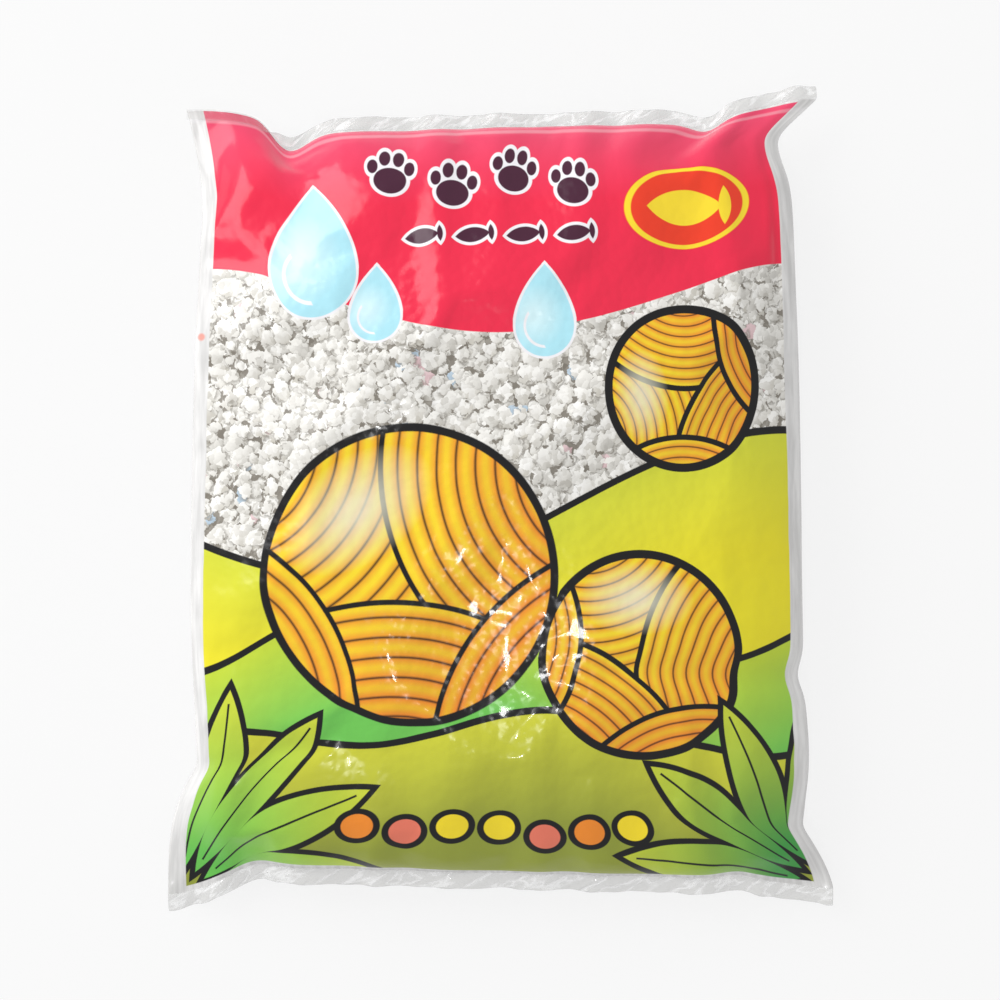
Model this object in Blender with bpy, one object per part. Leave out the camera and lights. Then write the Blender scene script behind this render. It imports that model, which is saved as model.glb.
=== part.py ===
"""A sealed pillow pack of cat litter, ten litres, lying on its back.

The pack is one tube of clear film with a printed front. It is heat sealed across both ends,
with a short flap of film outside each seal. The litter fills it to a low dome, so the side
folds pull in and the four corners are left as flat ears.

Metres, +Z up. The origin is on the floor, below the middle of the pack. +Y points to the top
of the print, +X to its right, and the printed front faces +Z.
"""

import math
from dataclasses import dataclass

import bmesh
import bpy

# The film as it lies flat, before filling
FILM_THICKNESS = 0.00015
FILM_WIDTH = 0.406
FILM_LENGTH = 0.486
TOP_FLAP = 0.009
BOTTOM_FLAP = 0.011

# The filled pack: how deep it is, and how far the fill draws in the folds and the seals
FILL_DEPTH = 0.087
SIDE_DRAW_IN = 0.0206
END_DRAW_IN = 0.0185
SIDE_TAPER = 0.0055
SIDE_LEAN = 0.0019
END_SKEW = 0.0050
FOLD_HEIGHT = 0.035
SEAL_HEIGHT = 0.029
FLAP_DROOP = 0.004

# How full the film is drawn: larger powers give squarer shoulders
ACROSS_POWER = 2.5
ALONG_POWER = 2.3
FULLNESS = 0.5
SIDE_ROUND = 0.042
END_ROUND = 0.070

# The flat ears: the shares of the way in at which an ear ends, and how flat it is pressed
EAR_START = 0.25
EAR_END = 1.40
EAR_FLATNESS = 0.9
EAR_FLARE_POWER = 1.5
EAR_RISE_SPREAD = 1.25
PINCH_SPREAD = 0.8
GATHER_SINK = 0.5
GATHER_SPREAD = 1.5
GATHER_VALLEY = 0.45
DIP_REACH = 0.045
SEAL_SLOPE_START = 0.55

# Puckers that the seals gather into the film
PUCKER_PITCH = 0.047
PUCKER_DEPTH = 0.0034
PUCKER_REACH = 0.034
FLAP_RIPPLE = 0.0022
BLEND_WIDTH = 0.012

# A dent low in the right side fold, with a crease that runs in from it
DENT_PLACE = -0.108
DENT_DEPTH = 0.0042
DENT_WIDTH = 0.010
DENT_CREASE = 0.0020

# Creases along the side folds, and the lie of the litter below the front
CREASE_PITCH = 0.083
CREASE_DEPTH = 0.0014
CREASE_REACH = 0.030
LUMP_PITCH = 0.150
LUMP_DEPTH = 0.0014

# How the pitch of puckers, creases and lumps wanders, and how they fade out on the ears
WANDER = 0.9
WANDER_RATE = 0.43
DETAIL_FADE = 0.25

# The mesh of the film: the mean size of its cells, and how far they crowd to the edges
CELL_WIDTH = 0.0092
CELL_LENGTH = 0.0093
FLAP_CELL = 0.0050
EDGE_CROWDING = 0.30


@dataclass(frozen=True)
class Corner:
    """One ear of the pack, where film without litter lies flat.

    across and along say which corner it is. neck is how far from the seal the side fold is
    pinched, and pinch is by how much. tuck is how far the ear stays short of the flat film's
    edge, and rise how far its seal runs past the line of the others. gather is how far from the
    ear's tip the seal dips, with the dip's depth and width. drop lowers the ear's tip.
    """

    across: int
    along: int
    neck: float
    pinch: float
    tuck: float
    rise: float
    gather: float
    gather_depth: float
    gather_width: float
    drop: float

    @property
    def reach(self):
        """The ear's distance from the middle line."""
        return FILM_WIDTH / 2 - self.tuck


TOP_LEFT = Corner(
    across=-1,
    along=1,
    neck=0.060,
    pinch=0.0010,
    tuck=0.0152,
    rise=0.0060,
    gather=0.062,
    gather_depth=0.0110,
    gather_width=0.0135,
    drop=0.004,
)
TOP_RIGHT = Corner(
    across=1,
    along=1,
    neck=0.024,
    pinch=0.0080,
    tuck=0.0140,
    rise=0.0095,
    gather=0.066,
    gather_depth=0.0060,
    gather_width=0.0110,
    drop=-0.003,
)
BOTTOM_LEFT = Corner(
    across=-1,
    along=-1,
    neck=0.069,
    pinch=0.0050,
    tuck=0.0026,
    rise=0.0160,
    gather=0.053,
    gather_depth=0.0020,
    gather_width=0.0150,
    drop=0.012,
)
BOTTOM_RIGHT = Corner(
    across=1,
    along=-1,
    neck=0.034,
    pinch=0.0045,
    tuck=0.0026,
    rise=0.0015,
    gather=0.056,
    gather_depth=0.0020,
    gather_width=0.0130,
    drop=0.010,
)
CORNERS = (TOP_LEFT, TOP_RIGHT, BOTTOM_LEFT, BOTTOM_RIGHT)


def clamp(value, low=0.0, high=1.0):
    """The value, kept between low and high."""
    return max(low, min(high, value))


def ease(value):
    """0 to 1 with level ends."""
    value = clamp(value)
    return value * value * (3 - 2 * value)


def bell(distance, width):
    """1 at no distance, falling smoothly to 0 past two widths."""
    return math.exp(-((distance / width) ** 2))


def wave(distance, pitch, phase):
    """A wave from -1 to 1 along a distance, with a pitch that wanders as real film does."""
    turn = 2 * math.pi * distance / pitch
    return math.sin(turn + phase + WANDER * math.sin(WANDER_RATE * turn + 2 * phase))


def side_of(value):
    """-1 or 1, the side that a signed position is on."""
    return 1 if value >= 0 else -1


def corner_at(across, along):
    """The corner on the side and at the end that two signed positions are on."""
    for corner in CORNERS:
        if (corner.across, corner.along) == (side_of(across), side_of(along)):
            return corner
    raise ValueError("a pack has four corners")


def from_fold(across):
    """The distance to the nearer side fold, for a place across in -1..1."""
    return (1 - abs(across)) * (FILM_WIDTH / 2 - SIDE_DRAW_IN)


def from_seal(along):
    """The distance to the nearer seal, for a place along in -1..1."""
    return (1 - abs(along)) * (FILM_LENGTH / 2 - END_DRAW_IN)


def fold_distance(side, along):
    """How far from the middle line a side fold lies, for a place along in -1..1."""
    corner = corner_at(side, along)
    filled = FILM_WIDTH / 2 - SIDE_DRAW_IN - SIDE_TAPER * along - SIDE_LEAN * side
    pinched = filled - corner.pinch * bell(from_seal(along) - corner.neck, PINCH_SPREAD * corner.neck)
    flare = clamp(1 - from_seal(along) / corner.neck) ** EAR_FLARE_POWER
    return pinched + (corner.reach - pinched) * flare - DENT_DEPTH * dent_share(side, along)


def dent_share(side, along):
    """1 at the dent in the right side fold and 0 away from it."""
    return bell(along * FILM_LENGTH / 2 - DENT_PLACE, DENT_WIDTH) if side > 0 else 0.0


def seal_distance(across, end):
    """How far from the middle of the pack a seal would lie without its gathers."""
    corner = corner_at(across, end)
    from_tip = (1 - abs(across)) * corner.reach
    rise = corner.rise * ease(1 - from_tip / (EAR_RISE_SPREAD * corner.gather))
    return FILM_LENGTH / 2 - END_DRAW_IN + END_SKEW * across + rise


def seal_dip(across, end):
    """How far the gather beside the nearer ear pulls a seal in."""
    corner = corner_at(across, end)
    from_tip = (1 - abs(across)) * corner.reach
    return corner.gather_depth * bell(from_tip - corner.gather, corner.gather_width)


def ear_share(across, along):
    """0 on the filled body and 1 out on a corner's flat ear."""
    corner = corner_at(across, along)
    share = from_fold(across) / corner.gather + from_seal(along) / corner.neck
    return 1 - ease((share - EAR_START) / (EAR_END - EAR_START))


def fill_share(across, along):
    """How full the pack is here, from 0 at the folds and seals to 1 in the middle."""
    room = (1 - abs(across) ** ACROSS_POWER) * (1 - abs(along) ** ALONG_POWER)
    return max(0.0, room) ** FULLNESS * (1 - EAR_FLATNESS * ear_share(across, along))


def floor_share(across, along):
    """How far the back sheet has come down, from 0 at the folds and seals to 1 on the floor."""
    side_gap = clamp(1 - from_fold(across) / SIDE_ROUND)
    end_gap = clamp(1 - from_seal(along) / END_ROUND)
    gap = min(1.0, math.hypot(side_gap, end_gap))
    return math.sqrt(1 - gap**2) * (1 - EAR_FLATNESS * ear_share(across, along) * ease(gap))


def seam_height(across, along):
    """The height of the level that joins the folds and seals, halfway between the sheets."""
    corner = corner_at(across, along)
    near_seal = ease((abs(along) - SEAL_SLOPE_START) / (1 - SEAL_SLOPE_START))
    level = FOLD_HEIGHT + (SEAL_HEIGHT - FOLD_HEIGHT) * near_seal
    from_tip = (1 - abs(across)) * corner.reach
    dip = corner.gather_depth * bell(from_tip - corner.gather, GATHER_SPREAD * corner.gather_width)
    return level - corner.drop * ear_share(across, along) - GATHER_SINK * dip * near_seal


def seal_ripple(across, end):
    """The wave of one end's seal, from -1 to 1."""
    return wave(across * FILM_WIDTH / 2, PUCKER_PITCH, phase=end)


def pucker(across, along):
    """How far the gathered seals raise or lower the front sheet here."""
    grown = ease(from_seal(along) / BLEND_WIDTH)
    depth = PUCKER_DEPTH * grown * math.exp(-from_seal(along) / PUCKER_REACH)
    return depth * seal_ripple(across, side_of(along))


def gather_valley(across, along):
    """How far the valley that runs in from a gather lowers the front sheet here."""
    grown = ease(from_seal(along) / BLEND_WIDTH)
    fading = math.exp(-from_seal(along) / PUCKER_REACH)
    return GATHER_VALLEY * seal_dip(across, side_of(along)) * grown * fading


def fold_crease(across, along):
    """How far the creases of the side folds raise or lower the front sheet here."""
    side = side_of(across)
    grown = ease(from_fold(across) / BLEND_WIDTH)
    fading = math.exp(-from_fold(across) / CREASE_REACH)
    crease = CREASE_DEPTH * wave(along * FILM_LENGTH / 2, CREASE_PITCH, phase=side)
    return grown * fading * (crease - DENT_CREASE * dent_share(side, along))


def litter_lump(across, along):
    """How far the litter, which never settles quite level, raises the front sheet here."""
    over = wave(across * FILM_WIDTH / 2, LUMP_PITCH, phase=1)
    up = wave(along * FILM_LENGTH / 2, LUMP_PITCH, phase=2)
    return LUMP_DEPTH * over * up


def flap_length(end):
    """The length of the flap at one end."""
    return TOP_FLAP if end > 0 else BOTTOM_FLAP


def film_point(across, along, flap_share, front):
    """A point on the front or back sheet.

    across and along run from -1 to 1 between the folds and the seals. flap_share runs from 0 on
    the seal to 1 at the flap's free edge, and is 0 on the body.
    """
    end = side_of(along)
    x = across * fold_distance(side_of(across), along)
    dip = seal_dip(across, end) * ease(1 - from_seal(along) / DIP_REACH)
    y = along * seal_distance(across, end) + end * (flap_share * flap_length(end) - dip)
    seam = seam_height(across, along)
    near_seal = ease(1 - from_seal(along) / BLEND_WIDTH)
    lifted = FLAP_RIPPLE * (near_seal + flap_share) * seal_ripple(across, end)
    middle = seam + lifted - FLAP_DROOP * flap_share**2
    if front:
        full = fill_share(across, along)
        detail = pucker(across, along) - gather_valley(across, along)
        detail += fold_crease(across, along) + litter_lump(across, along)
        lift = (FILL_DEPTH - seam) * full + detail * clamp(full / DETAIL_FADE)
        return x, y, middle + lift + FILM_THICKNESS
    return x, y, max(0.0, middle * (1 - floor_share(across, along)) - FILM_THICKNESS)


def crowded(share):
    """A place in -1..1 moved outwards, so that cells are small near the edges."""
    return share * (1 + EDGE_CROWDING) - EDGE_CROWDING * share**3


def place_across(share):
    """The place across, in -1..1, of a point this share of the way over the mesh."""
    return crowded(2 * share - 1)


def cells_in(length, cell):
    """How many cells of about this size a length holds."""
    return round(length / cell)


def place_along(share):
    """The place along and the flap share of a point this share of the way up the mesh."""
    rows = cells_in(FILM_LENGTH, CELL_LENGTH)
    flap_rows = cells_in(BOTTOM_FLAP, FLAP_CELL)
    row = share * (rows + 2 * flap_rows) - flap_rows
    rows_past_seal = max(-row, row - rows, 0)
    return crowded(clamp(2 * row / rows - 1, -1, 1)), rows_past_seal / flap_rows


def film_solid():
    """The pack as one closed mesh: a sheet, doubled by an extrusion, then drawn full."""
    solid = bmesh.new()
    bmesh.ops.create_grid(
        solid,
        x_segments=cells_in(FILM_WIDTH, CELL_WIDTH),
        y_segments=cells_in(FILM_LENGTH, CELL_LENGTH) + 2 * cells_in(BOTTOM_FLAP, FLAP_CELL),
        size=0.5,
    )
    doubled = bmesh.ops.extrude_face_region(solid, geom=solid.faces[:], use_keep_orig=True)
    back = [item for item in doubled["geom"] if isinstance(item, bmesh.types.BMVert)]
    bmesh.ops.translate(solid, verts=back, vec=(0, 0, -1))
    for vert in solid.verts:
        across = place_across(vert.co.x + 0.5)
        along, flap_share = place_along(vert.co.y + 0.5)
        vert.co = film_point(across, along, flap_share, front=vert.co.z > -0.5)
    bmesh.ops.recalc_face_normals(solid, faces=solid.faces[:])
    return solid


def centre_on_origin(solid):
    """Slide the pack over the floor until the middle of its box is above the origin."""
    middle = []
    for axis in (0, 1):
        places = [vert.co[axis] for vert in solid.verts]
        middle.append((min(places) + max(places)) / 2)
    bmesh.ops.translate(solid, verts=solid.verts[:], vec=(-middle[0], -middle[1], 0))


def film_material():
    """Glossy printed film, in the middle colour of the print."""
    material = bpy.data.materials.new("printed_film")
    material.use_nodes = True
    shader = material.node_tree.nodes["Principled BSDF"]
    shader.inputs["Base Color"].default_value = (0.86, 0.62, 0.18, 1.0)
    shader.inputs["Roughness"].default_value = 0.25
    shader.inputs["Metallic"].default_value = 0.0
    return material


def litter_bag():
    """The pack as one object."""
    solid = film_solid()
    centre_on_origin(solid)
    mesh = bpy.data.meshes.new("litter_bag")
    solid.to_mesh(mesh)
    solid.free()
    mesh.materials.append(film_material())
    mesh.shade_smooth()
    mesh.set_sharp_from_angle(angle=math.radians(50))
    bag = bpy.data.objects.new("litter_bag", mesh)
    bpy.context.scene.collection.objects.link(bag)
    return bag


def clear_scene():
    """Remove whatever the scene holds."""
    for thing in list(bpy.data.objects):
        bpy.data.objects.remove(thing)


clear_scene()
litter_bag()
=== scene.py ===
"""The looks of a sealed film pack of cat litter, seen from above its printed front.

The pack is a flat tube of clear film, printed in front and heat sealed across both ends. Its
film is drawn round the litter by a cloth simulation that starts from the filled shape of the
model and remembers the flat tube, so the film that the filled shape has too much of gathers
into puckers by itself. The print is a set of simple shapes, worked out on the flat film.

All sizes are in metres. +Z is up, +Y points to the top of the print and +X to its right.
"""

from __future__ import annotations

import logging
import math
from dataclasses import dataclass, field
from enum import Enum
from typing import Union

import bpy
import numpy as np
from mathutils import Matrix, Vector, noise


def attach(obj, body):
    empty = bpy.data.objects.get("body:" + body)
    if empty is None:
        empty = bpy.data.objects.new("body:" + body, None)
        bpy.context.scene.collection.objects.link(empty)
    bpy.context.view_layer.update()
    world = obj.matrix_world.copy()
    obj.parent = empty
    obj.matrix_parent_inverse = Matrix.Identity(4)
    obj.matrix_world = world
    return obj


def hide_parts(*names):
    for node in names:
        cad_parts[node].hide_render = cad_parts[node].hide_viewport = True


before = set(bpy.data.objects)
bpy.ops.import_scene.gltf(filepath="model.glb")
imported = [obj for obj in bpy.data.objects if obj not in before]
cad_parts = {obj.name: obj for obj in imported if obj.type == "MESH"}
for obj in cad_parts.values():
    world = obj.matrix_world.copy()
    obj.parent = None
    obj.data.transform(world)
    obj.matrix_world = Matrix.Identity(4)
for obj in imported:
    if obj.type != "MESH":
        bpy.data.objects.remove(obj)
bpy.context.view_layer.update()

LOG = logging.getLogger("litter_bag")

# Half the width over which a printed edge fades
EDGE = 0.00025

# A length that is never divided by less than
TINY = 1e-9

Colour = tuple[float, float, float]
Ink = Union[Colour, bpy.types.NodeSocket]
Number = Union["Field", float]
Numbering = dict[tuple["Sheet", int, int], int]


def linear(red: int, green: int, blue: int) -> Colour:
    """A display colour as linear light.

    Args:
        red: Red, 0 to 255.
        green: Green, 0 to 255.
        blue: Blue, 0 to 255.

    Returns:
        The colour as Blender's sockets take it.
    """
    shares = (red / 255, green / 255, blue / 255)
    return tuple(s / 12.92 if s <= 0.04045 else ((s + 0.055) / 1.055) ** 2.4 for s in shares)


def clamp(value: float, low: float = 0.0, high: float = 1.0) -> float:
    """The value, kept between low and high."""
    return max(low, min(high, value))


def ease(value: float) -> float:
    """0 to 1 with level ends."""
    value = clamp(value)
    return value * value * (3 - 2 * value)


def bell(distance: float, width: float) -> float:
    """1 at no distance, falling smoothly to 0 past two widths."""
    return math.exp(-((distance / width) ** 2))


class Side(Enum):
    """The two side folds."""

    LEFT = -1
    RIGHT = 1

    @classmethod
    def of(cls, across: float) -> Side:
        """The side that a signed place across is on."""
        return cls.RIGHT if across >= 0 else cls.LEFT


class End(Enum):
    """The two sealed ends."""

    BOTTOM = -1
    TOP = 1

    @classmethod
    def of(cls, along: float) -> End:
        """The end that a signed place along is on."""
        return cls.TOP if along >= 0 else cls.BOTTOM


class Sheet(Enum):
    """The two sheets of the flat tube."""

    FRONT = 0
    BACK = 1


@dataclass(frozen=True)
class FlatTube:
    """The film as it lies flat, before filling."""

    width: float = 0.406
    length: float = 0.486
    thickness: float = 0.0003
    top_flap: float = 0.009
    bottom_flap: float = 0.011

    def flap(self, end: End) -> float:
        """The length of the flap outside one seal."""
        return self.top_flap if end is End.TOP else self.bottom_flap


@dataclass(frozen=True)
class Ear:
    """One corner of the pack, where film without litter lies flat.

    neck is how far from the seal the side fold is pinched, and pinch is how much. tuck is how
    far the ear stays short of the flat tube's edge, and rise how far its seal runs past the
    others. gather is how far from the ear's tip the seal dips, with the dip's depth and width,
    and drop lowers the tip. onset and spread shape the ear's outer edge: above 1, onset makes
    it leave the neck late and spread makes it reach its full width early.
    """

    neck: float
    pinch: float
    tuck: float
    rise: float
    gather: float
    gather_depth: float
    gather_width: float
    drop: float
    onset: float
    spread: float


EARS: dict[tuple[Side, End], Ear] = {
    (Side.LEFT, End.TOP): Ear(0.060, 0.0010, 0.0130, 0.0078, 0.062, 0.0110, 0.0135, 0.004, 1.5, 1.0),
    (Side.RIGHT, End.TOP): Ear(0.024, 0.0080, 0.0118, 0.0118, 0.066, 0.0060, 0.0110, -0.003, 1.5, 1.0),
    (Side.LEFT, End.BOTTOM): Ear(0.074, 0.0050, 0.0008, 0.0200, 0.053, 0.0020, 0.0150, 0.012, 1.0, 2.9),
    (Side.RIGHT, End.BOTTOM): Ear(0.037, 0.0030, 0.0004, 0.0060, 0.056, 0.0020, 0.0130, 0.010, 1.0, 1.35),
}


@dataclass(frozen=True)
class FilledForm:
    """The shape that ten litres of granules give the flat tube.

    It is the model's own shape, as a function of a place on the film, so that the film of the
    render starts where the model's surface is.
    """

    tube: FlatTube = FlatTube()
    depth: float = 0.087
    side_draw_in: float = 0.0206
    end_draw_in: float = 0.0185
    pinch_width: float = 0.8
    side_taper: float = 0.0055
    side_lean: float = 0.0019
    end_skew: float = 0.0050
    fold_height: float = 0.035
    seal_height: float = 0.029
    seal_zone: float = 0.55
    seal_blend: float = 0.45
    rise_reach: float = 1.25
    sag: float = 0.5
    sag_width: float = 1.5
    flap_droop: float = 0.004
    across_power: float = 2.5
    along_power: float = 2.3
    fullness: float = 0.5
    side_round: float = 0.042
    end_round: float = 0.070
    ear_start: float = 0.25
    ear_end: float = 1.40
    ear_flatness: float = 0.9
    pucker_pitch: float = 0.047
    pucker_depth: float = 0.0034
    pucker_reach: float = 0.034
    wander: float = 0.9
    wander_rate: float = 0.43
    flap_ripple: float = 0.0022
    blend: float = 0.012
    dip_reach: float = 0.045
    valley: float = 0.45
    dent_crease: float = 0.0020
    crease_pitch: float = 0.083
    crease_depth: float = 0.0014
    crease_reach: float = 0.030
    lump_pitch: float = 0.150
    lump_depth: float = 0.0014
    fold_blend: float = 0.020
    fold_hinge: float = 0.0003
    fold_radius: float = 0.0007
    fold_clearance: float = 0.0010
    fine_pitch: float = 0.0145
    fine_depth: float = 0.0011
    fine_reach: float = 0.011
    fine_stretch: float = 1.7
    detail_rate: float = 4.0
    dent_place: float = -0.108
    dent_depth: float = 0.0042
    dent_width: float = 0.010
    bulge: float = 0.0026
    bulge_place: float = -0.165
    bulge_reach: float = 0.036
    pleat_depth: float = 0.0024
    pleat_width: float = 0.0021
    pleat_line: float = 0.0130
    pleat_place: float = 0.155
    pleat_reach: float = 0.050

    def from_fold(self, across: float) -> float:
        """The distance to the nearer side fold, for a place across in -1..1."""
        return (1 - abs(across)) * (self.tube.width / 2 - self.side_draw_in)

    def from_seal(self, along: float) -> float:
        """The distance to the nearer seal, for a place along in -1..1."""
        return (1 - abs(along)) * (self.tube.length / 2 - self.end_draw_in)

    def ear(self, across: float, along: float) -> Ear:
        """The ear at the corner that two signed places are nearest to."""
        return EARS[Side.of(across), End.of(along)]

    def reach(self, ear: Ear) -> float:
        """An ear's distance from the middle line."""
        return self.tube.width / 2 - ear.tuck

    def fold_distance(self, side: Side, along: float) -> float:
        """How far from the middle line a side fold lies."""
        ear = EARS[side, End.of(along)]
        filled = self.tube.width / 2 - self.side_draw_in
        filled -= self.side_taper * along + self.side_lean * side.value
        pinched = filled - ear.pinch * bell(self.from_seal(along) - ear.neck, self.pinch_width * ear.neck)
        share = clamp(1 - self.from_seal(along) / ear.neck)
        flare = 1 - (1 - share**ear.onset) ** ear.spread
        if side is Side.RIGHT:
            pinched += self.bulge * bell(along * self.tube.length / 2 - self.bulge_place, self.bulge_reach)
        flared = pinched + (self.reach(ear) - pinched) * flare
        return flared - self.dent_depth * self.dent_share(side, along)

    def dent_share(self, side: Side, along: float) -> float:
        """1 at the dent in the right side fold and 0 away from it."""
        place = along * self.tube.length / 2
        return bell(place - self.dent_place, self.dent_width) if side is Side.RIGHT else 0.0

    def seal_distance(self, across: float, end: End) -> tuple[float, float]:
        """How far from the middle of the pack a seal lies, and how deep it dips here."""
        ear = EARS[Side.of(across), end]
        from_tip = (1 - abs(across)) * self.reach(ear)
        rise = ear.rise * ease(1 - from_tip / (self.rise_reach * ear.gather))
        dip = ear.gather_depth * bell(from_tip - ear.gather, ear.gather_width)
        saved = self.tube.flap(end) - self.fold_hinge - self.fold_radius
        rise += saved * self.turned_over(across, end)
        return self.tube.length / 2 - self.end_draw_in + self.end_skew * across + rise, dip

    def turned_over(self, across: float, end: End) -> float:
        """How far the flap is folded onto the front: 1 on the top left ear and 0 past its gather."""
        if end is End.BOTTOM or Side.of(across) is Side.RIGHT:
            return 0.0
        ear = EARS[Side.LEFT, end]
        from_tip = (1 - abs(across)) * self.reach(ear)
        return ease((ear.gather - from_tip) / self.fold_blend)

    def ear_share(self, across: float, along: float) -> float:
        """0 on the filled body and 1 out on an ear."""
        ear = self.ear(across, along)
        share = self.from_fold(across) / ear.gather + self.from_seal(along) / ear.neck
        return 1 - ease((share - self.ear_start) / (self.ear_end - self.ear_start))

    def fill_share(self, across: float, along: float) -> float:
        """How full the pack is here, from 0 at the folds and seals to 1 in the middle."""
        room = (1 - abs(across) ** self.across_power) * (1 - abs(along) ** self.along_power)
        return max(0.0, room) ** self.fullness * (1 - self.ear_flatness * self.ear_share(across, along))

    def floor_share(self, across: float, along: float) -> float:
        """How far the back sheet has come down, from 0 at the seams to 1 on the floor."""
        side_gap = clamp(1 - self.from_fold(across) / self.side_round)
        end_gap = clamp(1 - self.from_seal(along) / self.end_round)
        gap = min(1.0, math.hypot(side_gap, end_gap))
        flat = self.ear_flatness * self.ear_share(across, along) * ease(gap)
        return math.sqrt(1 - gap**2) * (1 - flat)

    def seam_height(self, across: float, along: float) -> float:
        """The height of the level that joins the folds and the seals."""
        ear = self.ear(across, along)
        near_seal = ease((abs(along) - self.seal_zone) / self.seal_blend)
        level = self.fold_height + (self.seal_height - self.fold_height) * near_seal
        from_tip = (1 - abs(across)) * self.reach(ear)
        dip = ear.gather_depth * bell(from_tip - ear.gather, self.sag_width * ear.gather_width)
        return level - ear.drop * self.ear_share(across, along) - self.sag * dip * near_seal

    def wave(self, distance: float, pitch: float, phase: float) -> float:
        """A wave from -1 to 1 along a distance, with a pitch that wanders."""
        turn = 2 * math.pi * distance / pitch
        return math.sin(turn + phase + self.wander * math.sin(self.wander_rate * turn + 2 * phase))

    def seal_ripple(self, across: float, end: End) -> float:
        """The wave of one end's seal, from -1 to 1."""
        return self.wave(across * self.tube.width / 2, self.pucker_pitch, end.value)

    def seal_detail(self, across: float, along: float) -> float:
        """How far the gathered seals raise or lower the front sheet here."""
        end = End.of(along)
        distance = self.from_seal(along)
        grown = ease(distance / self.blend)
        fading = math.exp(-distance / self.pucker_reach)
        coarse = self.pucker_depth * self.seal_ripple(across, end)
        coarse -= self.valley * self.seal_distance(across, end)[1]
        fine = self.fine_depth * self.wave(across * self.tube.width / 2, self.fine_pitch, 3 * end.value)
        fine_fading = ease(2 * distance / self.blend) * math.exp(-distance / self.fine_reach)
        return grown * fading * coarse + fine_fading * fine

    def fold_detail(self, across: float, along: float) -> float:
        """How far the creases of the side folds raise or lower the front sheet here."""
        side = Side.of(across)
        distance = self.from_fold(across)
        place = along * self.tube.length / 2
        fading = ease(distance / self.blend) * math.exp(-distance / self.crease_reach)
        crease = self.crease_depth * self.wave(place, self.crease_pitch, side.value)
        fine = self.fine_depth * self.wave(place, self.fine_stretch * self.fine_pitch, 2 * side.value)
        fine_fading = ease(2 * distance / self.blend) * math.exp(-distance / self.fine_reach)
        return fading * (crease - self.dent_crease * self.dent_share(side, along)) + fine_fading * fine

    def litter_lump(self, across: float, along: float) -> float:
        """How far the litter, which never settles quite level, raises the front sheet here."""
        over = self.wave(across * self.tube.width / 2, self.lump_pitch, 1)
        up = self.wave(along * self.tube.length / 2, self.lump_pitch, 2)
        return self.lump_depth * over * up

    def pleat(self, across: float, along: float) -> float:
        """How deep the pleat beside the upper half of the right fold is here."""
        if Side.of(across) is Side.LEFT:
            return 0.0
        past = along * self.tube.length / 2 - self.pleat_place
        line = bell(self.from_fold(across) - self.pleat_line, self.pleat_width)
        return self.pleat_depth * line * bell(past, self.pleat_reach)

    def point(self, across: float, along: float, sheet: Sheet) -> Vector:
        """A point on the film between the folds and the seals.

        Args:
            across: The place between the side folds, -1 to 1.
            along: The place between the seals, -1 to 1.
            sheet: The front or the back.

        Returns:
            The point, in the frame of the model.
        """
        end = End.of(along)
        x = across * self.fold_distance(Side.of(across), along)
        seal, dip = self.seal_distance(across, end)
        y = along * seal - end.value * dip * ease(1 - self.from_seal(along) / self.dip_reach)
        ripple = self.flap_ripple * ease(1 - self.from_seal(along) / self.blend)
        middle = self.seam_height(across, along) + ripple * self.seal_ripple(across, end)
        if sheet is Sheet.BACK:
            return Vector((x, y, max(0.0, middle * (1 - self.floor_share(across, along)))))
        full = self.fill_share(across, along)
        lift = (self.depth - self.seam_height(across, along)) * full
        detail = self.seal_detail(across, along) + self.fold_detail(across, along)
        detail += self.litter_lump(across, along)
        return Vector((x, y, middle + lift + detail * clamp(self.detail_rate * full)))


@dataclass(frozen=True)
class FilmGrid:
    """The mesh of the two sheets, with its cells crowded towards the folds and seals."""

    tube: FlatTube = FlatTube()
    cells_across: int = 92
    cells_along: int = 108
    flap_cells: int = 6
    crowding: float = 0.27

    def place(self, step: int, cells: int) -> float:
        """The place in -1..1 of a grid line."""
        share = 2 * step / cells - 1
        return share * (1 + self.crowding) - self.crowding * share**3

    @property
    def across(self) -> list[float]:
        """The places across of the columns."""
        return [self.place(column, self.cells_across) for column in range(self.cells_across + 1)]

    @property
    def along(self) -> list[float]:
        """The places along of the rows between the seals."""
        return [self.place(row, self.cells_along) for row in range(self.cells_along + 1)]

    def flat(self, across: float, along: float) -> tuple[float, float]:
        """A place on the flat film, in metres from its middle."""
        return across * self.tube.width / 2, along * self.tube.length / 2

    def averaging(self, places: list[float], size: float, reach: float) -> np.ndarray:
        """The weights that average values over a reach of the flat film.

        Args:
            places: The places of the grid lines, in -1..1.
            size: The film's size in their direction.
            reach: How far the average reaches.

        Returns:
            One row of weights for each grid line.
        """
        spots = np.array(places) * size / 2
        weights = np.exp(-(((spots[:, None] - spots) / reach) ** 2)) * np.gradient(spots)
        return weights / weights.sum(axis=1, keepdims=True)


def pillow_faces(columns: int, rows: int) -> tuple[Numbering, list[tuple[int, ...]]]:
    """The corners and faces of two sheets that share their outer edge.

    Args:
        columns: The number of grid points across.
        rows: The number of grid points along.

    Returns:
        The number of each grid point on each sheet, and the faces, all facing out.
    """
    number: Numbering = {}
    count = 0
    for sheet in Sheet:
        for row in range(rows):
            for column in range(columns):
                on_edge = column in (0, columns - 1) or row in (0, rows - 1)
                if sheet is Sheet.BACK and on_edge:
                    number[sheet, column, row] = number[Sheet.FRONT, column, row]
                    continue
                number[sheet, column, row] = count
                count += 1
    faces = []
    for row in range(rows - 1):
        for column in range(columns - 1):
            ring = ((column, row), (column + 1, row), (column + 1, row + 1), (column, row + 1))
            faces.append(tuple(number[Sheet.FRONT, c, r] for c, r in ring))
            faces.append(tuple(number[Sheet.BACK, c, r] for c, r in reversed(ring)))
    return number, faces


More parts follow.
